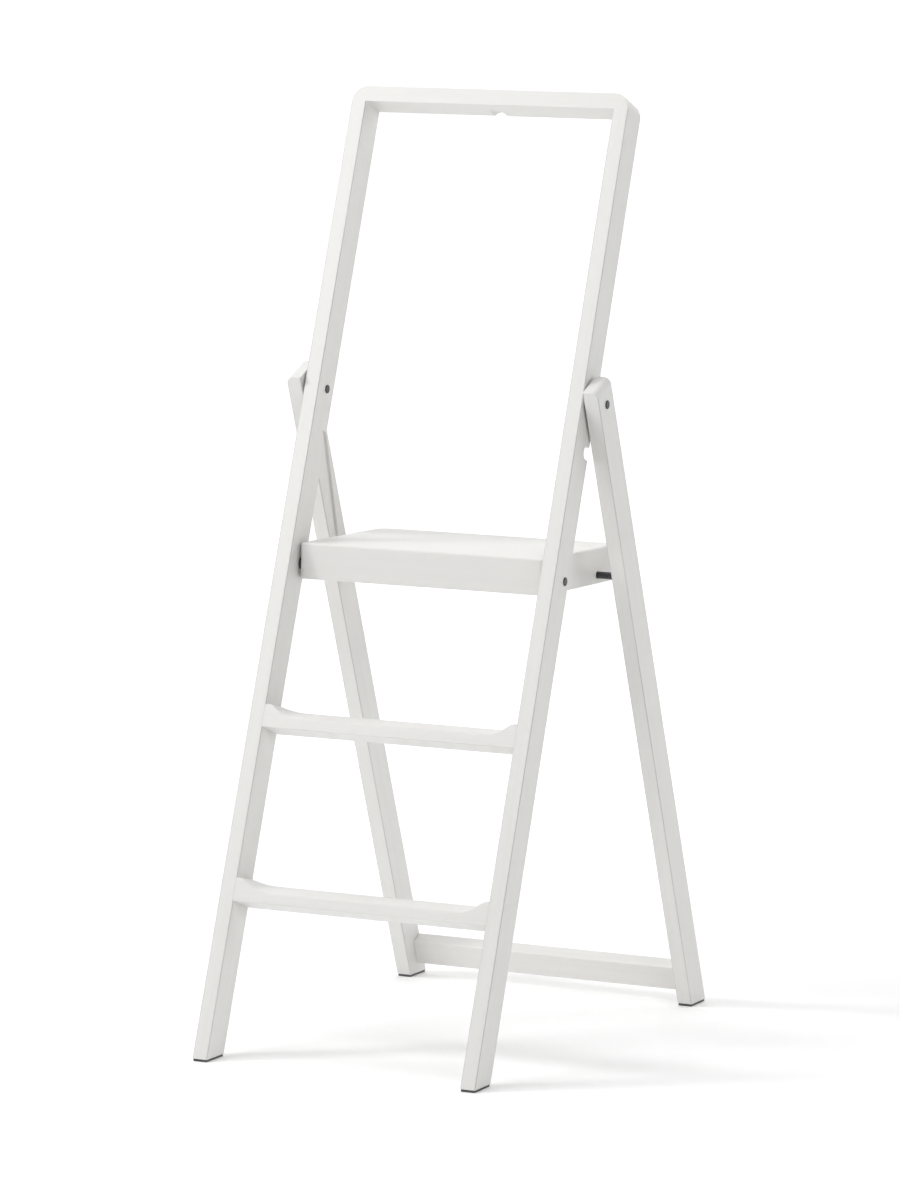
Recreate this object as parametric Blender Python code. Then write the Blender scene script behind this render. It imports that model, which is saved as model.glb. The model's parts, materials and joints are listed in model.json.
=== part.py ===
"""White painted wooden folding step ladder.

A tall front frame with two planed steps, a rear frame that hinges on it, and a
platform that swings up between the front uprights as the ladder folds.
X runs across the ladder, -Y is the climbing side, Z is up. The origin is on the
floor at the centre of the opened ladder.
"""
import math

import bmesh
import bpy
from mathutils import Matrix, Vector

# ---------------------------------------------------------------- driving sizes
FRONT_LEAN = math.radians(18.9)     # front frame from the vertical
REAR_LEAN = math.radians(25.0)      # rear frame from the vertical
FRAME_WIDTH = 0.420                 # over the outer faces of the front uprights
FRAME_LENGTH = 1.396                # floor to the top rail, along the front face
STOCK = 0.022                       # thickness of uprights and legs, along X
DEPTH = 0.050                       # depth of uprights and legs
HINGE_S = 0.9592                    # main hinge: distance up the front frame
HINGE_D = 0.0280                    # main hinge: depth behind the front face
PIVOT_S = 0.710                     # platform pivot, measured the same way
PIVOT_D = 0.036
SIDE_GAP = 0.003                    # upright to rear leg
JOINT_GAP = 0.0003                  # between pieces that touch
EDGE = 0.0012                       # softened long edges

PAD_HEIGHT = 0.003
PAD_INSET = 0.0012

RAIL_HEIGHT = 0.0226                # top rail
RAIL_CORNER = 0.022
HOOK_RADIUS = 0.011                 # hanging recess under the top rail
HOOK_RISE = 0.0050
HOOK_DEPTH = 0.024

STEP_BASES = {"lower_step": 0.2240, "middle_step": 0.4683}
STEP_FRONT = 0.0160                 # height of the tread's front edge over the base
STEP_LIP = 0.0330                   # full height left at the step's ends, front
STEP_LIP_REAR = 0.0400
COVE_RADIUS = 0.050                 # end coves along the front edge
COVE_START = 0.140
COVE_END = 0.185
COVE_REAR_RADIUS = 0.122
COVE_REAR_START = 0.148
COVE_EASE = 0.35                    # rounding of a cove's shoulder, as a share of its height
TREAD_EDGE = 0.0025                 # rounding of a tread's front edge

NOTCH_S = 0.8930                    # rod notch in the upright's rear edge
NOTCH_RADIUS = 0.0093
NOTCH_DEPTH = 0.0180

PLATFORM_HALF_WIDTH = 0.184
PLATFORM_TOP = 0.690                # floor to the standing surface
PLATFORM_HEIGHT = 0.050
PLATFORM_AHEAD = 0.0125             # front face ahead of the pivot
PLATFORM_DEPTH = 0.2680
PLATFORM_RAIL = 0.022
PLATFORM_CORNER_FRONT = 0.0065
PLATFORM_CORNER_REAR = 0.021
PLATFORM_EDGE = 0.0030
PANEL_THICKNESS = 0.018
ROD_BEHIND = 0.1800                 # rod behind the pivot, and below it
ROD_BELOW = 0.0080
ROD_RADIUS = 0.0050
ROD_CLEARANCE = 0.0005              # rod end to rear leg

BAR_TOP = 0.9340                    # rear crossbar, down the leg from the hinge
BAR_HEIGHT = 0.038
BAR_DEPTH = 0.0236

HEAD_RISE = 0.0300                  # rear leg's end above the hinge, and its shoulder
HEAD_CORNER = 0.0110

SLOT_TOP = (0.0690, 0.0161)         # rod slot in the rear leg: (down, rearward)
SLOT_BOTTOM = (0.2619, -0.0071)
SLOT_RADIUS = 0.0056
SLOT_DEPTH = 0.0035

CAP_RADIUS = 0.0060
CAP_HEIGHT = 0.0015
SHANK_RADIUS = 0.0030
SLEEVE_RADIUS = 0.0045
DOWEL_RADIUS = 0.0040
DOWEL_IN_SIDE = 0.0135              # dowel depth in an upright or leg
DOWEL_IN_RAIL = 0.0215              # dowel depth in a step or rail
BORE_CLEARANCE = 0.0002

# ---------------------------------------------------------------- derived places
HALF = FRAME_WIDTH / 2
INNER = HALF - STOCK                # inner face of an upright
LEG_INNER = HALF + SIDE_GAP
LEG_OUTER = LEG_INNER + STOCK
SIDES = {"left": -1, "right": 1}


def front_to_world(s, d):
    """World (y, z) of a point s up the front frame and d behind its front face."""
    return (s * math.sin(FRONT_LEAN) + d * math.cos(FRONT_LEAN),
            s * math.cos(FRONT_LEAN) - d * math.sin(FRONT_LEAN))


HINGE_Y, HINGE_Z = front_to_world(HINGE_S, HINGE_D)
PIVOT_Y, PIVOT_Z = front_to_world(PIVOT_S, PIVOT_D)
FOOT_Z = PAD_HEIGHT + JOINT_GAP     # where the wood of every foot is cut level
FRONT_TOE = FOOT_Z * math.tan(FRONT_LEAN)
REAR_HEEL = (HINGE_Y + (HINGE_Z - FOOT_Z) * math.tan(REAR_LEAN)
             + DEPTH / 2 / math.cos(REAR_LEAN))
CENTRE_Y = (FRONT_TOE + REAR_HEEL) / 2      # the origin is the footprint's centre


# ---------------------------------------------------------------- materials
def principled(name, colour, roughness, metallic=0.0):
    material = bpy.data.materials.new(name)
    material.use_nodes = True
    shader = material.node_tree.nodes["Principled BSDF"]
    shader.inputs["Base Color"].default_value = (*colour, 1.0)
    shader.inputs["Roughness"].default_value = roughness
    shader.inputs["Metallic"].default_value = metallic
    return material


# ---------------------------------------------------------------- mesh helpers
def finish(name, bm, material, parent, smooth_angle=35.0):
    """Turn a bmesh into a shaded, parented object."""
    bmesh.ops.recalc_face_normals(bm, faces=bm.faces)
    mesh = bpy.data.meshes.new(name)
    bm.to_mesh(mesh)
    bm.free()
    mesh.shade_smooth()
    mesh.set_sharp_from_angle(angle=math.radians(smooth_angle))
    mesh.materials.append(material)
    item = bpy.data.objects.new(name, mesh)
    bpy.context.scene.collection.objects.link(item)
    item.parent = parent
    return item


def extrude(outline, axis, start, end):
    """Closed prism: a 2-D outline placed across an axis and extruded along it."""
    bm = bmesh.new()
    place = {"x": lambda a, b: Vector((start, a, b)),
             "y": lambda a, b: Vector((a, start, b)),
             "z": lambda a, b: Vector((a, b, start))}[axis]
    along = {"x": Vector((1, 0, 0)), "y": Vector((0, 1, 0)), "z": Vector((0, 0, 1))}[axis]
    face = bm.faces.new([bm.verts.new(place(a, b)) for a, b in outline])
    moved = bmesh.ops.extrude_face_region(bm, geom=[face])["geom"]
    bmesh.ops.translate(bm, vec=along * (end - start),
                        verts=[v for v in moved if isinstance(v, bmesh.types.BMVert)])
    return bm


def soften(bm, chooses, width=EDGE, segments=2):
    """Bevel the edges whose two end points both satisfy a test."""
    edges = [e for e in bm.edges if chooses(e.verts[0].co, e.verts[1].co)]
    bmesh.ops.bevel(bm, geom=edges, offset=width, segments=segments, profile=0.5,
                    affect="EDGES", clamp_overlap=True)


def arc(centre, radius, first, last, steps):
    """Points on a circle between two angles in degrees."""
    for k in range(steps + 1):
        angle = math.radians(first + (last - first) * k / steps)
        yield (centre[0] + radius * math.cos(angle), centre[1] + radius * math.sin(angle))


def turned(profile, centre, segments=24):
    """Lathe about X through centre (y, z). profile lists (x, radius) from axis to
    axis for a solid, or as a closed loop for a ring."""
    bm = bmesh.new()
    closed = profile[0][1] > 0
    rings = []
    for x, radius in profile:
        if radius == 0:
            rings.append([bm.verts.new((x, centre[0], centre[1]))])
            continue
        turns = (math.tau * k / segments for k in range(segments))
        rings.append([bm.verts.new((x, centre[0] + radius * math.cos(a),
                                    centre[1] + radius * math.sin(a))) for a in turns])
    pairs = list(zip(rings, rings[1:] + rings[:1] if closed else rings[1:]))
    for one, two in pairs:
        for k in range(segments):
            nxt = (k + 1) % segments
            if len(one) == 1:
                bm.faces.new((one[0], two[k], two[nxt]))
            elif len(two) == 1:
                bm.faces.new((one[k], one[nxt], two[0]))
            else:
                bm.faces.new((one[k], one[nxt], two[nxt], two[k]))
    return bm


def add_rods(bm, rods, segments=20):
    """Add closed cylinders to a bmesh: (start point, end point, radius)."""
    for start, end, radius in rods:
        start, end = Vector(start), Vector(end)
        turn = (end - start).to_track_quat("Z", "Y").to_matrix().to_4x4()
        bmesh.ops.create_cone(bm, cap_ends=True, segments=segments, radius1=radius,
                              radius2=radius, depth=(end - start).length,
                              matrix=Matrix.Translation((start + end) / 2) @ turn)


def cut(item, bm):
    """Subtract a bmesh from an object with a Boolean cutter beside it."""
    bmesh.ops.recalc_face_normals(bm, faces=bm.faces)
    mesh = bpy.data.meshes.new(item.name + "_cutter")
    bm.to_mesh(mesh)
    bm.free()
    cutter = bpy.data.objects.new(mesh.name, mesh)
    bpy.context.scene.collection.objects.link(cutter)
    cutter.parent = item.parent
    cutter.hide_render = True
    cutter.display_type = "WIRE"
    modifier = item.modifiers.new("holes", "BOOLEAN")
    modifier.object = cutter
    modifier.operation = "DIFFERENCE"
    modifier.solver = "EXACT"


def drill(item, rods):
    bm = bmesh.new()
    add_rods(bm, rods)
    cut(item, bm)


# ---------------------------------------------------------------- places of joints
def step_dowels(base, side):
    """Centre lines of the two dowels at one end of a step, in the front frame."""
    for d in (0.0135, 0.0365):
        yield (side * (INNER - DOWEL_IN_RAIL), d, base + 0.0115), \
              (side * (INNER + DOWEL_IN_SIDE), d, base + 0.0115)


def rail_dowels(side):
    seat = FRAME_LENGTH - RAIL_HEIGHT
    for d in (0.0135, 0.0365):
        yield (side * (HALF - STOCK / 2), d, seat - DOWEL_IN_RAIL), \
              (side * (HALF - STOCK / 2), d, seat + 0.0125)


def bar_dowels(side):
    """Centre lines of the two dowels at one end of the crossbar, in the rear frame."""
    depth = DEPTH / 2 - BAR_DEPTH / 2
    for down in (BAR_TOP + 0.010, BAR_TOP + BAR_HEIGHT - 0.010):
        yield (side * (LEG_INNER - DOWEL_IN_RAIL), depth, -down), \
              (side * (LEG_INNER + DOWEL_IN_SIDE), depth, -down)


def bores(lines, extra=0.0005):
    """Holes for dowels: a little wider and a little longer at both ends."""
    for start, end in lines:
        start, end = Vector(start), Vector(end)
        reach = (end - start).normalized() * extra
        yield start - reach, end + reach, DOWEL_RADIUS + BORE_CLEARANCE


def dowel(name, line, material, parent):
    bm = bmesh.new()
    add_rods(bm, [(*line, DOWEL_RADIUS)], segments=16)
    return finish(name, bm, material, parent)


# ---------------------------------------------------------------- front frame
def upright(name, side, material, parent):
    """Front upright: slanted foot, round notch for the rod in the rear edge."""
    foot = [(FOOT_Z + d * math.sin(FRONT_LEAN)) / math.cos(FRONT_LEAN) for d in (0.0, DEPTH)]
    top = FRAME_LENGTH - RAIL_HEIGHT - JOINT_GAP
    bite = (DEPTH - NOTCH_DEPTH + NOTCH_RADIUS, NOTCH_S)
    outline = [(0.0, foot[0]), (DEPTH, foot[1]), (DEPTH, NOTCH_S - NOTCH_RADIUS)]
    outline += list(arc(bite, NOTCH_RADIUS, 270, 90, 12))
    outline += [(DEPTH, NOTCH_S + NOTCH_RADIUS), (DEPTH, top), (0.0, top)]
    bm = extrude(outline, "x", side * INNER, side * HALF)

    def long_edge(a, b):
        return abs(a.z - b.z) > 0.3 and abs(a.x - b.x) < 1e-6
    soften(bm, long_edge)
    item = finish(name, bm, material, parent)
    holes = [((side * (INNER - 0.01), HINGE_D, HINGE_S), (side * (HALF + 0.01), HINGE_D, HINGE_S),
              SLEEVE_RADIUS + BORE_CLEARANCE),
             ((side * (INNER - 0.01), PIVOT_D, PIVOT_S), (side * (HALF + 0.01), PIVOT_D, PIVOT_S),
              SHANK_RADIUS + BORE_CLEARANCE)]
    lines = [line for base in STEP_BASES.values() for line in step_dowels(base, side)]
    holes += list(bores(lines + list(rail_dowels(side))))
    drill(item, holes)
    return item


def top_rail(name, material, parent):
    """Top rail with rounded outer corners and a hanging recess under its rear edge."""
    base = FRAME_LENGTH - RAIL_HEIGHT
    reach = HALF - RAIL_CORNER
    level = FRAME_LENGTH - RAIL_CORNER
    outline = [(-HALF, base), (HALF, base)]
    outline += list(arc((reach, level), RAIL_CORNER, 0, 90, 10))
    outline += list(arc((-reach, level), RAIL_CORNER, 90, 180, 10))
    bm = extrude(outline, "y", 0.0, DEPTH)

    def rim(a, b):
        return abs(a.y - b.y) < 1e-6 and max(a.z, b.z) > base + 1e-6
    soften(bm, rim)
    item = finish(name, bm, material, parent)
    bm = bmesh.new()
    centre = base + HOOK_RISE - HOOK_RADIUS
    add_rods(bm, [((0, DEPTH - HOOK_DEPTH, centre), (0, DEPTH + 0.02, centre), HOOK_RADIUS)], 40)
    add_rods(bm, bores(line for side in SIDES.values() for line in rail_dowels(side)))
    cut(item, bm)
    return item


def step(name, base, material, parent):
    """Step planed level on top, with coves that run up to full-height ends."""
    slope = DEPTH * math.tan(FRONT_LEAN)
    end = INNER - JOINT_GAP

    def rise(x, start, radius, limit):
        run = min(max(0.0, abs(x) - start), radius)
        curve = radius - math.sqrt(radius ** 2 - run ** 2)
        ease = COVE_EASE * limit
        near = max(ease - abs(curve - limit), 0.0) / ease
        return min(curve, limit) - near ** 2 * ease / 4

    half = [COVE_START + (COVE_END - COVE_START) * k / 12 for k in range(13)] + [end]
    stations = [-x for x in reversed(half)] + half
    bm = bmesh.new()
    rings = []
    for x in stations:
        front = STEP_FRONT + rise(x, COVE_START, COVE_RADIUS, STEP_LIP - STEP_FRONT)
        rear = STEP_FRONT + slope + rise(x, COVE_REAR_START, COVE_REAR_RADIUS,
                                         STEP_LIP_REAR - STEP_FRONT - slope)
        corners = [(0.0, base), (DEPTH, base), (DEPTH, base + rear), (0.0, base + front)]
        rings.append([bm.verts.new((x, d, s)) for d, s in corners])
    for one, two in zip(rings, rings[1:]):
        for k in range(4):
            bm.faces.new((one[k], one[(k + 1) % 4], two[(k + 1) % 4], two[k]))
    bm.faces.new(rings[0])
    bm.faces.new(rings[-1])

    def tread_edge(a, b):
        return (abs(a.x - b.x) > 1e-6 and max(a.y, b.y) < 1e-6
                and min(a.z, b.z) > base + 1e-6)
    soften(bm, tread_edge, TREAD_EDGE, 3)

    def other_edge(a, b):
        return abs(a.x - b.x) > 1e-6 and (max(a.z, b.z) < base + 1e-6
                                          or min(a.y, b.y) > DEPTH - 1e-6)
    soften(bm, other_edge)
    item = finish(name, bm, material, parent)
    lines = [line for side in SIDES.values() for line in step_dowels(base, side)]
    drill(item, list(bores(lines)))
    return item


# ---------------------------------------------------------------- rear frame
def rear_leg(name, side, material, parent):
    """Rear leg about the main hinge: rounded outer shoulder, slanted foot, inner slot."""
    half = DEPTH / 2
    outline = [(LEG_INNER, HEAD_RISE), (LEG_INNER, -1.0), (LEG_OUTER, -1.0)]
    outline += arc((LEG_OUTER - HEAD_CORNER, HEAD_RISE - HEAD_CORNER), HEAD_CORNER, 0, 90, 12)
    bm = extrude([(side * x, z) for x, z in outline], "y", -half, half)
    for vert in bm.verts:
        if vert.co.z < -0.9:
            vert.co.z = -(HINGE_Z - FOOT_Z + vert.co.y * math.sin(REAR_LEAN)) / math.cos(REAR_LEAN)

    def face_edge(a, b):
        return abs(a.y - b.y) < 1e-6 and max(a.z, b.z) > -0.9
    soften(bm, face_edge)
    item = finish(name, bm, material, parent)

    bm = bmesh.new()
    add_rods(bm, [((side * (LEG_INNER - 0.01), 0, 0), (side * (LEG_OUTER + 0.01), 0, 0),
                   SHANK_RADIUS + BORE_CLEARANCE)])
    add_rods(bm, bores(bar_dowels(side)))
    cut(item, bm)
    cut(item, slot_cutter(side))
    return item


def slot_cutter(side):
    """Round-ended slot along the path from SLOT_TOP to SLOT_BOTTOM."""
    top = Vector((SLOT_TOP[1], -SLOT_TOP[0]))
    bottom = Vector((SLOT_BOTTOM[1], -SLOT_BOTTOM[0]))
    heading = math.degrees(math.atan2(*(top - bottom).yx))
    outline = list(arc(top, SLOT_RADIUS, heading + 90, heading - 90, 12))
    outline += list(arc(bottom, SLOT_RADIUS, heading - 90, heading - 270, 12))
    return extrude(outline, "x", side * (LEG_INNER - 0.01), side * (LEG_INNER + SLOT_DEPTH))


def crossbar(name, material, parent):
    """Bar between the rear legs, flush with their rear faces."""
    rear = DEPTH / 2
    outline = [(rear - BAR_DEPTH, -BAR_TOP - BAR_HEIGHT), (rear, -BAR_TOP - BAR_HEIGHT),
               (rear, -BAR_TOP), (rear - BAR_DEPTH, -BAR_TOP)]
    reach = LEG_INNER - JOINT_GAP
    bm = extrude(outline, "x", -reach, reach)
    soften(bm, lambda a, b: abs(a.x - b.x) > 0.1)
    item = finish(name, bm, material, parent)
    drill(item, list(bores(line for side in SIDES.values() for line in bar_dowels(side))))
    return item


# ---------------------------------------------------------------- platform
# Platform pieces are placed from the pivot: y is behind it and z is above it.
P_FRONT = -PLATFORM_AHEAD
P_REAR = P_FRONT + PLATFORM_DEPTH
P_TOP = PLATFORM_TOP - PIVOT_Z
P_BASE = P_TOP - PLATFORM_HEIGHT


def platform_end_rail(name, front, material, parent):
    """Front or rear rail, full width, with rounded vertical corners."""
    outer = P_FRONT if front else P_REAR
    inward = 1 if front else -1
    radius = PLATFORM_CORNER_FRONT if front else PLATFORM_CORNER_REAR
    inner = outer + inward * PLATFORM_RAIL
    reach = PLATFORM_HALF_WIDTH - radius
    centre = outer + inward * radius
    turn = (270, 360) if front else (90, 0)
    corner = list(arc((reach, centre), radius, *turn, 8))
    outline = [(-PLATFORM_HALF_WIDTH, inner)] + [(-x, y) for x, y in reversed(corner)]
    outline += corner + [(PLATFORM_HALF_WIDTH, inner)]
    bm = extrude(outline, "z", P_BASE, P_TOP)

    def top_rim(a, b):
        return min(a.z, b.z) > P_TOP - 1e-6 and not (abs(a.y - inner) < 1e-6
                                                     and abs(b.y - inner) < 1e-6)
    soften(bm, top_rim, PLATFORM_EDGE, 3)
    item = finish(name, bm, material, parent)
    if front:
        drill(item, [((side * (PLATFORM_HALF_WIDTH - 0.0260), 0, 0),
                      (side * (PLATFORM_HALF_WIDTH + 0.01), 0, 0), 0.0052)
                     for side in SIDES.values()])
    return item


def platform_side_rail(name, side, material, parent):
    """Side rail between the end rails, bored for the rod."""
    outer = side * PLATFORM_HALF_WIDTH
    inner = side * (PLATFORM_HALF_WIDTH - PLATFORM_RAIL)
    outline = [(outer, P_BASE), (outer, P_TOP), (inner, P_TOP), (inner, P_BASE)]
    bm = extrude(outline, "y", P_FRONT + PLATFORM_RAIL + JOINT_GAP,
                 P_REAR - PLATFORM_RAIL - JOINT_GAP)

    def outer_top(a, b):
        return (min(a.z, b.z) > P_TOP - 1e-6 and abs(a.y - b.y) > 0.1
                and abs(a.x - outer) < 1e-6)
    soften(bm, outer_top, PLATFORM_EDGE, 3)
    item = finish(name, bm, material, parent)
    drill(item, [((inner - side * 0.01, ROD_BEHIND, -ROD_BELOW),
                  (outer + side * 0.01, ROD_BEHIND, -ROD_BELOW), ROD_RADIUS + BORE_CLEARANCE)])
    return item


def platform_panel(name, material, parent):
    """Standing surface, let in flush between the four rails."""
    reach = PLATFORM_HALF_WIDTH - PLATFORM_RAIL - JOINT_GAP
    front = P_FRONT + PLATFORM_RAIL + JOINT_GAP
    rear = P_REAR - PLATFORM_RAIL - JOINT_GAP
    outline = [(-reach, front), (reach, front), (reach, rear), (-reach, rear)]
    return finish(name, extrude(outline, "z", P_TOP - PANEL_THICKNESS, P_TOP), material, parent)


def platform_rod(name, material, parent):
    """Round rod across the platform; its ends stop just short of the rear legs."""
    reach = LEG_INNER - ROD_CLEARANCE
    ease = 0.0006
    profile = [(-reach, 0), (-reach, ROD_RADIUS - ease), (-reach + ease, ROD_RADIUS),
               (reach - ease, ROD_RADIUS), (reach, ROD_RADIUS - ease), (reach, 0)]
    return finish(name, turned(profile, (ROD_BEHIND, -ROD_BELOW)), material, parent)


# ---------------------------------------------------------------- fastenings
def capped(side, seat, tip):
    """Round cap proud of a face at x = seat, with a shank that runs to x = tip."""
    out = 1 if seat > tip else -1
    ease = 0.0004
    top = seat + out * CAP_HEIGHT
    under = seat + out * 0.0001
    return [(side * x, r) for x, r in (
        (top, 0), (top, CAP_RADIUS - ease), (top - out * ease, CAP_RADIUS),
        (under, CAP_RADIUS), (under, SHANK_RADIUS), (tip, SHANK_RADIUS), (tip, 0))]


def hinge_bolt(name, side, material, parent):
    profile = capped(side, LEG_OUTER, INNER + 0.0024)
    return finish(name, turned(profile, (0, 0)), material, parent)


def hinge_sleeve(name, side, material, parent):
    """Capped sleeve nut in the upright, around the bolt's end."""
    bore = SHANK_RADIUS + BORE_CLEARANCE
    ease = 0.0004
    top = INNER - CAP_HEIGHT
    under = INNER - 0.0001
    end = INNER + 0.018
    profile = [(side * x, r) for x, r in (
        (top, 0), (top, CAP_RADIUS - ease), (top + ease, CAP_RADIUS), (under, CAP_RADIUS),
        (under, SLEEVE_RADIUS), (end, SLEEVE_RADIUS), (end, bore), (INNER + 0.0018, bore),
        (INNER + 0.0018, 0))]
    return finish(name, turned(profile, (HINGE_D, HINGE_S)), material, parent)


def washer(name, side, start, end, bore, radius, centre, material, parent):
    profile = [(side * start, bore), (side * start, radius), (side * end, radius),
               (side * end, bore)]
    return finish(name, turned(profile, centre), material, parent)


def platform_bolt(name, side, material, parent):
    profile = capped(side, HALF, PLATFORM_HALF_WIDTH - 0.0240)
    return finish(name, turned(profile, (PIVOT_D, PIVOT_S)), material, parent)


def foot_pad(name, side, rear, material, parent):
    """Thin pad under a foot, a little smaller than the wood above it."""
    if rear:
        inner, outer, far = LEG_INNER, LEG_OUTER, REAR_HEEL
        near = far - DEPTH / math.cos(REAR_LEAN)
    else:
        inner, outer, near = INNER, HALF, FRONT_TOE
        far = near + DEPTH / math.cos(FRONT_LEAN)
    x0, x1 = side * (inner + PAD_INSET), side * (outer - PAD_INSET)
    y0, y1 = near + PAD_INSET - CENTRE_Y, far - PAD_INSET - CENTRE_Y
    bm = extrude([(x0, y0), (x1, y0), (x1, y1), (x0, y1)], "z", 0.0, PAD_HEIGHT)
    return finish(name, bm, material, parent)


# ---------------------------------------------------------------- assembly
def axis_empty(name, location, lean=0.0):
    empty = bpy.data.objects.new(name, None)
    empty.location = location
    empty.rotation_euler = (lean, 0.0, 0.0)
    bpy.context.scene.collection.objects.link(empty)
    return empty


def build():
    for item in list(bpy.data.objects):
        bpy.data.objects.remove(item, do_unlink=True)

    paint = principled("white_paint", (0.83, 0.83, 0.81), 0.42)
    beech = principled("dowel_beech", (0.62, 0.43, 0.26), 0.60)
    steel = principled("dark_steel", (0.050, 0.050, 0.052), 0.40, 1.0)
    zinc = principled("zinc_steel", (0.55, 0.55, 0.54), 0.35, 1.0)
    nylon = principled("black_nylon", (0.035, 0.035, 0.036), 0.50)
    rubber = principled("grey_rubber", (0.090, 0.090, 0.090), 0.75)

    front = axis_empty("front_frame_axis", (0, -CENTRE_Y, 0), -FRONT_LEAN)
    rear = axis_empty("main_hinge_axis", (0, HINGE_Y - CENTRE_Y, HINGE_Z), REAR_LEAN)
    platform = axis_empty("platform_axis", (0, PIVOT_Y - CENTRE_Y, PIVOT_Z))

    top_rail("top_rail", paint, front)
    for name, base in STEP_BASES.items():
        step(name, base, paint, front)
    crossbar("rear_crossbar", paint, rear)
    platform_end_rail("platform_front_rail", True, paint, platform)
    platform_end_rail("platform_rear_rail", False, paint, platform)
    platform_panel("platform_panel", paint, platform)
    platform_rod("platform_rod", steel, platform)

    for word, side in SIDES.items():
        upright("front_upright_" + word, side, paint, front)
        rear_leg("rear_leg_" + word, side, paint, rear)
        platform_side_rail("platform_side_rail_" + word, side, paint, platform)
        hinge_bolt("hinge_bolt_" + word, side, steel, rear)
        hinge_sleeve("hinge_sleeve_" + word, side, steel, front)
        washer("hinge_washer_" + word, side, HALF + 0.0002, LEG_INNER - 0.0002,
               0.0050, 0.0100, (HINGE_D, HINGE_S), nylon, front)
        platform_bolt("platform_bolt_" + word, side, steel, front)
        washer("platform_washer_" + word, side, PLATFORM_HALF_WIDTH + 0.0003, INNER - 0.0003,
               SHANK_RADIUS + BORE_CLEARANCE, 0.0080, (PIVOT_D, PIVOT_S), nylon, front)
        washer("platform_insert_" + word, side, PLATFORM_HALF_WIDTH - 0.0003,
               PLATFORM_HALF_WIDTH - 0.0225, SHANK_RADIUS + BORE_CLEARANCE, 0.0050,
               (0, 0), zinc, platform)
        foot_pad("front_pad_" + word, side, False, rubber, None)
        foot_pad("rear_pad_" + word, side, True, rubber, None)
        for name, base in STEP_BASES.items():
            for k, line in enumerate(step_dowels(base, side), 1):
                dowel(f"{name}_dowel_{word}_{k}", line, beech, front)
        for k, line in enumerate(rail_dowels(side), 1):
            dowel(f"top_rail_dowel_{word}_{k}", line, beech, front)
        for k, line in enumerate(bar_dowels(side), 1):
            dowel(f"crossbar_dowel_{word}_{k}", line, beech, rear)


build()
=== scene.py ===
"""Looks for the white painted folding step ladder: finishes, studio and camera."""
import json
import math

import bmesh
import bpy
from mathutils import Matrix, Vector


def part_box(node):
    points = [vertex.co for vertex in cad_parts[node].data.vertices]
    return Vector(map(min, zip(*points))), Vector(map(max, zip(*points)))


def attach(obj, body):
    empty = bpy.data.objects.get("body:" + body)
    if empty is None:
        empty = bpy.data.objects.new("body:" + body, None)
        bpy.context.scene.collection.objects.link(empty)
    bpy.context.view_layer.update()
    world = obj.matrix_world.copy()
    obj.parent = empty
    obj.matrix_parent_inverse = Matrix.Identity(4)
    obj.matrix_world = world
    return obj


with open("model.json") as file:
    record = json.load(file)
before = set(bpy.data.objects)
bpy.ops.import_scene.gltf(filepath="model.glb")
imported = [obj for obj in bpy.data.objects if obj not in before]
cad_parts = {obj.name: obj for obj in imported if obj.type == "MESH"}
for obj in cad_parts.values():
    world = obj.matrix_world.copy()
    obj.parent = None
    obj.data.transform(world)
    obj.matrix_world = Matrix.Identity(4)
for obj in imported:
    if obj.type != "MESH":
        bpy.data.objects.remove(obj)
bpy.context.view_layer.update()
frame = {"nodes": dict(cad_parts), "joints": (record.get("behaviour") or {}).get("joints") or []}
nodes = frame["nodes"]

FRONT_LEAN = math.radians(18.9)
REAR_LEAN = math.radians(25.0)
STOCK_DEPTH = 0.050             # uprights and legs, front to rear
PIVOT_DEPTH = 0.036             # platform pivot behind the uprights' front faces

PAINTED_GRAIN = 0.035           # how far grain noise is stretched along the wood
DOWEL_GRAIN = 0.08
EDGE_SHADE_NEAR, EDGE_SHADE_FAR = 0.0005, 0.0018    # the painted edge shade fades out this far from an edge


# ---------------------------------------------------------------- node helpers
class Graph:
    """A short way to write a material's node tree. Inputs are named, or numbered
    as in "#0" where a node has several of one name."""

    def __init__(self, name):
        self.material = bpy.data.materials.new(name)
        self.material.use_nodes = True
        self.tree = self.material.node_tree
        self.shader = self.tree.nodes["Principled BSDF"]

    def add(self, kind, settings=None, **inputs):
        node = self.tree.nodes.new(kind)
        for key, value in (settings or {}).items():
            setattr(node, key, value)
        for key, value in inputs.items():
            self.feed(node, key.replace("_", " "), value)
        return node

    def feed(self, node, key, value):
        socket = node.inputs[int(key[1:]) if key[0] == "#" else key]
        if isinstance(value, bpy.types.NodeSocket):
            self.tree.links.new(value, socket)
        else:
            socket.default_value = value

    def math(self, kind, a, b=0.0):
        node = self.add("ShaderNodeMath", {"operation": kind})
        self.feed(node, "#0", a)
        self.feed(node, "#1", b)
        return node.outputs[0]

    def noise(self, vector, scale, detail, rough):
        node = self.add("ShaderNodeTexNoise", Vector=vector, Scale=scale, Detail=detail,
                        Roughness=rough)
        return node.outputs["Fac"]

    def span(self, value, low, high, to_low, to_high):
        node = self.add("ShaderNodeMapRange", Value=value)
        for key, number in zip(("#1", "#2", "#3", "#4"), (low, high, to_low, to_high)):
            self.feed(node, key, number)
        return node.outputs[0]

    def mix(self, factor, one, two):
        node = self.add("ShaderNodeMix", {"data_type": "RGBA"})
        self.feed(node, "#0", factor)
        self.feed(node, "#6", one)
        self.feed(node, "#7", two)
        return node.outputs[2]

    def bump(self, height, strength, distance, normal=None):
        node = self.add("ShaderNodeBump", Height=height, Strength=strength,
                        Distance=distance)
        if normal is not None:
            self.feed(node, "Normal", normal)
        return node.outputs[0]


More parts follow.
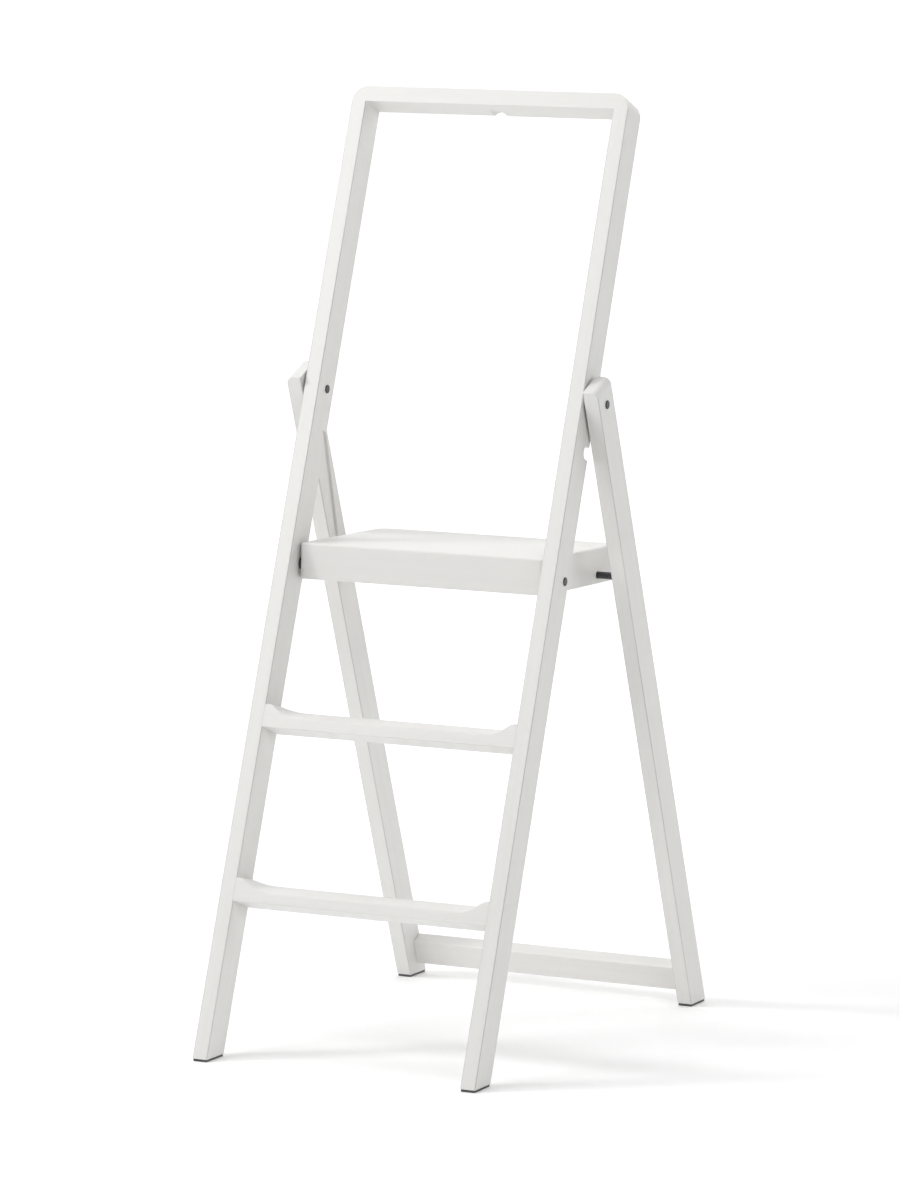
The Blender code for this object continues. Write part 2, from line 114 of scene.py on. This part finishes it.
def grain_space(graph, rotation, along):
    """Object coordinates turned so the grain runs along Z, squeezed along it."""
    place = graph.add("ShaderNodeTexCoord").outputs["Object"]
    turned = graph.add("ShaderNodeMapping", {"vector_type": "POINT"}, Vector=place,
                       Rotation=rotation)
    squeezed = graph.add("ShaderNodeMapping", {"vector_type": "POINT"},
                         Vector=turned.outputs[0], Scale=(1.0, 1.0, along))
    return place, squeezed.outputs[0]


def edge_shade_mask(graph, place, node, joint, behind, lean):
    """Mask for the painted edge shade: 1 along the long edges of an upright or leg, 0 on its
    faces. The joint lies `behind` metres behind the piece's front face, which leans back by
    `lean`."""
    low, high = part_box(node)
    axis = next(j for j in frame["joints"] if j["name"] == joint)["pos_m"]
    front = axis[1] * math.cos(lean) - axis[2] * math.sin(lean) - behind
    parts = graph.add("ShaderNodeSeparateXYZ", Vector=place).outputs
    across = graph.math("ABSOLUTE", parts["X"])
    depth = graph.math("SUBTRACT", graph.math("MULTIPLY", parts["Y"], math.cos(lean)),
                       graph.math("MULTIPLY", parts["Z"], math.sin(lean)))

    def beside(value, one, two):
        gaps = [graph.math("ABSOLUTE", graph.math("SUBTRACT", value, face))
                for face in (one, two)]
        return graph.span(graph.math("MINIMUM", *gaps), EDGE_SHADE_NEAR, EDGE_SHADE_FAR, 1.0, 0.0)
    return graph.math("MULTIPLY", beside(across, low[0], high[0]),
                      beside(depth, front, front + STOCK_DEPTH))


def white_paint(name, rotation, grain_shows=1.0, edges=None):
    """Sprayed satin white over fine wood: the grain shows through faintly, by as much
    as grain_shows, and a painted dark grey line along the edges of long pieces stands in for the
    shade at their creases."""
    graph = Graph(name)
    place, grain = grain_space(graph, rotation, PAINTED_GRAIN)
    fine = graph.noise(grain, 900.0, 4.0, 0.6)
    broad = graph.noise(grain, 90.0, 3.0, 0.55)
    cloud = graph.noise(place, 6.0, 2.0, 0.5)
    peel = graph.noise(place, 1400.0, 2.0, 0.5)
    pores = graph.span(fine, 0.56, 0.74, 0.0, 1.0)
    tone = graph.span(broad, 0.3, 0.7, 0.5 - 0.5 * grain_shows,
                      0.5 + 0.5 * grain_shows)
    colour = graph.mix(tone, (0.744, 0.737, 0.719, 1), (0.774, 0.767, 0.749, 1))
    colour = graph.mix(graph.math("MULTIPLY", pores, 0.30 * grain_shows), colour,
                       (0.645, 0.640, 0.612, 1))
    colour = graph.mix(graph.span(cloud, 0.35, 0.7, 0.0, 0.25), colour,
                       (0.730, 0.730, 0.713, 1))
    if edges:
        # painted shade: a dark grey line along the long edges of uprights and legs, standing in
        # for the shade at their creases
        painted_shade = graph.math("MULTIPLY", edge_shade_mask(graph, place, *edges),
                          graph.span(broad, 0.3, 0.6, 0.30, 0.60))
        colour = graph.mix(painted_shade, colour, (0.40, 0.395, 0.375, 1))
    graph.feed(graph.shader, "Base Color", colour)
    graph.feed(graph.shader, "Roughness",
               graph.span(graph.math("ADD", tone, graph.math("MULTIPLY", peel, 0.6)),
                          0.2, 1.3, 0.36, 0.50))
    graph.feed(graph.shader, "Specular IOR Level", 0.42)
    orange_peel = graph.bump(peel, 0.12, 0.0002)
    streaks = graph.math("ADD", graph.math("MULTIPLY", broad, 0.5),
                         graph.math("MULTIPLY", pores, -0.35))
    graph.feed(graph.shader, "Normal",
               graph.bump(streaks, 0.22 * grain_shows, 0.0004, orange_peel))
    return graph.material


def dark_steel(name):
    """Blackened steel with fine turning marks and a little rubbed brightness."""
    graph = Graph(name)
    place = graph.add("ShaderNodeTexCoord").outputs["Object"]
    lathe = graph.add("ShaderNodeMapping", {"vector_type": "POINT"}, Vector=place,
                      Scale=(60.0, 1.0, 1.0))
    marks = graph.noise(lathe.outputs[0], 60.0, 4.0, 0.6)
    rubbed = graph.noise(place, 420.0, 3.0, 0.6)
    colour = graph.mix(graph.span(rubbed, 0.45, 0.75, 0.0, 1.0),
                       (0.050, 0.051, 0.054, 1), (0.110, 0.110, 0.112, 1))
    graph.feed(graph.shader, "Base Color", colour)
    graph.feed(graph.shader, "Metallic", 0.85)
    graph.feed(graph.shader, "Roughness", graph.span(marks, 0.3, 0.7, 0.30, 0.46))
    graph.feed(graph.shader, "Normal", graph.bump(marks, 0.10, 0.0002))
    return graph.material


def rubber(name):
    """Matte dark grey rubber with a dusty bloom and a fine moulded stipple."""
    graph = Graph(name)
    place = graph.add("ShaderNodeTexCoord").outputs["Object"]
    stipple = graph.noise(place, 2200.0, 2.0, 0.5)
    dust = graph.noise(place, 110.0, 4.0, 0.6)
    graph.feed(graph.shader, "Base Color",
               graph.mix(graph.span(dust, 0.4, 0.75, 0.0, 1.0),
                         (0.070, 0.070, 0.071, 1), (0.135, 0.133, 0.128, 1)))
    graph.feed(graph.shader, "Roughness", graph.span(dust, 0.3, 0.7, 0.70, 0.85))
    graph.feed(graph.shader, "Normal", graph.bump(stipple, 0.35, 0.0002))
    return graph.material


def nylon(name):
    """Black nylon with a faint moulded cloudiness."""
    graph = Graph(name)
    place = graph.add("ShaderNodeTexCoord").outputs["Object"]
    cloud = graph.noise(place, 300.0, 3.0, 0.5)
    graph.feed(graph.shader, "Base Color",
               graph.mix(cloud, (0.026, 0.026, 0.027, 1), (0.044, 0.044, 0.045, 1)))
    graph.feed(graph.shader, "Roughness", graph.span(cloud, 0.3, 0.7, 0.44, 0.56))
    graph.feed(graph.shader, "Normal", graph.bump(cloud, 0.15, 0.0002))
    return graph.material


def zinc(name):
    """Bright zinc plating with a faint crystalline mottle."""
    graph = Graph(name)
    place = graph.add("ShaderNodeTexCoord").outputs["Object"]
    mottle = graph.noise(place, 500.0, 3.0, 0.6)
    graph.feed(graph.shader, "Base Color",
               graph.mix(mottle, (0.50, 0.51, 0.52, 1), (0.62, 0.62, 0.60, 1)))
    graph.feed(graph.shader, "Metallic", 1.0)
    graph.feed(graph.shader, "Roughness", graph.span(mottle, 0.3, 0.7, 0.28, 0.42))
    return graph.material


def beech(name, rotation):
    """Bare beech dowel: pale brown with short dark flecks along the grain."""
    graph = Graph(name)
    place, grain = grain_space(graph, rotation, DOWEL_GRAIN)
    flecks = graph.noise(grain, 1200.0, 3.0, 0.6)
    bands = graph.noise(grain, 200.0, 2.0, 0.5)
    colour = graph.mix(graph.span(bands, 0.3, 0.7, 0.0, 1.0),
                       (0.60, 0.42, 0.26, 1), (0.68, 0.49, 0.31, 1))
    colour = graph.mix(graph.span(flecks, 0.58, 0.72, 0.0, 0.6), colour,
                       (0.40, 0.24, 0.13, 1))
    graph.feed(graph.shader, "Base Color", colour)
    graph.feed(graph.shader, "Roughness", 0.62)
    graph.feed(graph.shader, "Normal", graph.bump(flecks, 0.15, 0.0003))
    return graph.material


# ---------------------------------------------------------------- finishes
ACROSS = (0.0, math.radians(-90.0), 0.0)        # turns that bring the grain onto Z
BACKWARD = (math.radians(90.0), 0.0, 0.0)
BOARD_GRAIN = 0.3               # the platform's paint hides most of its grain
paints = {
    # the front and rear paints also carry the painted shade line along the long edges
    "front": white_paint("white_paint_front", (FRONT_LEAN, 0.0, 0.0),
                         edges=("front_upright_right", "platform_fold",
                                PIVOT_DEPTH, FRONT_LEAN)),
    "rear": white_paint("white_paint_rear", (-REAR_LEAN, 0.0, 0.0),
                        edges=("rear_leg_right", "rear_frame_fold",
                               STOCK_DEPTH / 2, -REAR_LEAN)),
    "across": white_paint("white_paint_across", ACROSS),
    "board": white_paint("white_paint_board", ACROSS, BOARD_GRAIN),
    "backward": white_paint("white_paint_backward", BACKWARD, BOARD_GRAIN),
}
steel = dark_steel("dark_steel")
pad_rubber = rubber("pad_rubber")
washer_nylon = nylon("washer_nylon")
insert_zinc = zinc("insert_zinc")
dowel_beech = beech("dowel_beech", ACROSS)

for name, node in nodes.items():
    if "dowel" in name:
        chosen = dowel_beech
    elif "insert" in name:
        chosen = insert_zinc
    elif "washer" in name:
        chosen = washer_nylon
    elif "pad" in name:
        chosen = pad_rubber
    elif "bolt" in name or "sleeve" in name or "rod" in name:
        chosen = steel
    elif "upright" in name:
        chosen = paints["front"]
    elif "rear_leg" in name:
        chosen = paints["rear"]
    elif "side_rail" in name:
        chosen = paints["backward"]
    elif "platform" in name:
        chosen = paints["board"]
    else:
        chosen = paints["across"]
    node.data.materials.clear()
    node.data.materials.append(chosen)


# ---------------------------------------------------------------- painted joints
# Paint bridges the fine gap where a step or the top rail meets an upright.
UP = Vector((0.0, math.sin(FRONT_LEAN), math.cos(FRONT_LEAN)))
BACK = Vector((0.0, math.cos(FRONT_LEAN), -math.sin(FRONT_LEAN)))
FILM = 0.00005                  # how proud the paint film stands
EASED = 0.0014                  # just over the uprights' softened edges
OVERLAP = 0.0010                # how far a film runs onto the step
STEP_LIP = 0.0308               # full height of a step's end
STEP_EDGE = 0.0008              # softened lower edge that a step's film leaves bare
RAIL_FILM = 0.0010              # height of a film on the rail's joint, and how much
RAIL_FILM_BELOW = 0.0006        # of it lies below the rail


def paint_film(name, outline, start, along):
    """Closed prism of paint: corner points about a start point, run along a vector."""
    bm = bmesh.new()
    face = bm.faces.new([bm.verts.new(start + point) for point in outline])
    moved = bmesh.ops.extrude_face_region(bm, geom=[face])["geom"]
    bmesh.ops.translate(bm, vec=along,
                        verts=[v for v in moved if isinstance(v, bmesh.types.BMVert)])
    bmesh.ops.recalc_face_normals(bm, faces=bm.faces)
    mesh = bpy.data.meshes.new(name)
    bm.to_mesh(mesh)
    bm.free()
    mesh.materials.append(paints["across"])
    film = bpy.data.objects.new(name, mesh)
    bpy.context.scene.collection.objects.link(film)
    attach(film, "front_frame")


def front_corner(node):
    """World y and z of the lowest line of a front frame piece's front face."""
    low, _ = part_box(node)
    return low[1], low[2] + STOCK_DEPTH * math.sin(FRONT_LEAN)


def step_films(node):
    """Films over the two joints between a step's front face and the uprights."""
    y, z = front_corner(node)
    for word, side in (("left", -1), ("right", 1)):
        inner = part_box("front_upright_" + word)[1 if side < 0 else 0][0]
        across = Vector((side, 0, 0))
        outline = [across * -OVERLAP - BACK * FILM, across * EASED - BACK * FILM,
                   across * EASED, BACK * EASED, across * -OVERLAP + BACK * EASED]
        paint_film(f"{node}_joint_paint_{word}", outline,
                   Vector((inner, y, z)) + UP * STEP_EDGE, UP * (STEP_LIP - STEP_EDGE))


def rail_films():
    """Films around the joints between the top rail and the uprights."""
    y, z = front_corner("top_rail")
    for word, side in (("left", -1), ("right", 1)):
        low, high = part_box("front_upright_" + word)
        near, far = low[0] - FILM, high[0] + FILM
        front, rear = -FILM, STOCK_DEPTH + FILM
        corners = [(near + EASED, front), (far - EASED, front), (far, front + EASED),
                   (far, rear - EASED), (far - EASED, rear), (near + EASED, rear),
                   (near, rear - EASED), (near, front + EASED)]
        outline = [Vector((x, 0, 0)) + BACK * depth for x, depth in corners]
        paint_film(f"top_rail_joint_paint_{word}", outline,
                   Vector((0, y, z)) - UP * RAIL_FILM_BELOW, UP * RAIL_FILM)


step_films("lower_step")
step_films("middle_step")
rail_films()


# ---------------------------------------------------------------- studio
FLOOR_GLOW, WALL_GLOW = 0.125, 0.40     # the floor glows faintly and the wall more,
GLOW_START, GLOW_END = 0.9, 3.0         # growing between these two distances behind
FLOOR_FRONT, FLOOR_HALF_WIDTH = -10.0, 14.0
SWEEP_START, SWEEP_RADIUS, SWEEP_STEPS = 3.0, 2.0, 12
WALL_TOP = 7.0
FLOOR_DROP = 0.0004             # keeps the floor clear of the pads' undersides


def studio_floor():
    """A pale floor that sweeps up into a lit white wall behind the ladder."""
    graph = Graph("studio_white")
    place = graph.add("ShaderNodeTexCoord").outputs["Object"]
    cloud = graph.noise(place, 1.2, 2.0, 0.5)
    graph.feed(graph.shader, "Base Color",
               graph.mix(cloud, (0.90, 0.90, 0.90, 1), (0.92, 0.92, 0.92, 1)))
    graph.feed(graph.shader, "Roughness", 0.9)
    graph.feed(graph.shader, "Specular IOR Level", 0.1)
    behind = graph.add("ShaderNodeSeparateXYZ", Vector=place).outputs["Y"]
    graph.feed(graph.shader, "Emission Color", (1.0, 1.0, 1.0, 1.0))
    graph.feed(graph.shader, "Emission Strength",
               graph.span(behind, GLOW_START, GLOW_END, FLOOR_GLOW, WALL_GLOW))
    turns = [math.radians(90.0 * k / SWEEP_STEPS) for k in range(1, SWEEP_STEPS + 1)]
    profile = [(FLOOR_FRONT, 0.0), (SWEEP_START, 0.0)]
    profile += [(SWEEP_START + SWEEP_RADIUS * math.sin(turn),
                 SWEEP_RADIUS - SWEEP_RADIUS * math.cos(turn)) for turn in turns]
    profile.append((SWEEP_START + SWEEP_RADIUS, WALL_TOP))
    points = [(x, y, z) for x in (-FLOOR_HALF_WIDTH, FLOOR_HALF_WIDTH)
              for y, z in profile]
    count = len(profile)
    faces = [(k, k + 1, count + k + 1, count + k) for k in range(count - 1)]
    mesh = bpy.data.meshes.new("studio_floor")
    mesh.from_pydata(points, [], faces)
    mesh.shade_smooth()
    mesh.materials.append(graph.material)
    floor = bpy.data.objects.new("studio_floor", mesh)
    bpy.context.scene.collection.objects.link(floor)
    floor.location.z = -FLOOR_DROP
    return floor


def area_light(name, place, target, size, power):
    light = bpy.data.lights.new(name, "AREA")
    light.shape = "RECTANGLE"
    light.size, light.size_y = size
    light.energy = power
    item = bpy.data.objects.new(name, light)
    bpy.context.scene.collection.objects.link(item)
    item.location = place
    aim = Vector(target) - Vector(place)
    item.rotation_euler = aim.to_track_quat("-Z", "Y").to_euler()


studio_floor()
MIDDLE = (0, 0, 0.7)            # of the ladder, on the platform's level
WORLD_LIGHT = 0.10
LIGHTS = [                      # name, place, aimed at, size, watts
    ("overhead", (-0.4, 0.4, 4.6), (0, 0, 0), (4.0, 4.0), 105.0),
    ("key_left", (-4.5, -3.2, 3.8), MIDDLE, (1.4, 1.4), 148.0),
    ("soft_left", (-1.9, -3.0, 3.1), (0, 0, 1.0), (1.6, 1.6), 43.0),
    ("fill_right", (2.6, -2.8, 2.9), (0, 0, 1.0), (1.2, 1.2), 21.0),
    ("fill_side", (4.6, -2.7, 2.2), MIDDLE, (1.6, 1.6), 25.0),
    ("back_right", (3.4, 2.6, 2.6), (0, 0, 0.5), (2.0, 2.0), 24.0),
]
for light in LIGHTS:
    area_light(*light)

scene = bpy.context.scene
world = bpy.data.worlds.new("studio_world")
world.use_nodes = True
backdrop = world.node_tree.nodes["Background"]
backdrop.inputs["Color"].default_value = (1.0, 1.0, 1.0, 1.0)
backdrop.inputs["Strength"].default_value = WORLD_LIGHT
scene.world = world
scene.view_settings.view_transform = "Standard"
scene.view_settings.look = "None"
scene.view_settings.exposure = 0.0

# ---------------------------------------------------------------- camera
YAW, PITCH, ROLL = (math.radians(turn) for turn in (23.834, -6.308, 1.4095))
CAMERA_PLACE = (2.9089, -6.6215, 1.4084)
SENSOR_HEIGHT, LENS = 24.0, 104.01      # millimetres
forward = Vector((-math.sin(YAW) * math.cos(PITCH), math.cos(YAW) * math.cos(PITCH),
                  math.sin(PITCH)))
right = forward.cross(Vector((0, 0, 1))).normalized()
up = right.cross(forward)
tilted_right = math.cos(ROLL) * right + math.sin(ROLL) * up
tilted_up = math.cos(ROLL) * up - math.sin(ROLL) * right
camera_data = bpy.data.cameras.new("camera")
camera_data.sensor_fit = "VERTICAL"
camera_data.sensor_height = SENSOR_HEIGHT
camera_data.lens = LENS
camera_data.clip_end = 60.0
camera = bpy.data.objects.new("camera", camera_data)
scene.collection.objects.link(camera)
turn = Matrix((tilted_right, tilted_up, -forward)).transposed()
camera.matrix_world = Matrix.Translation(CAMERA_PLACE) @ turn.to_4x4()
scene.camera = camera
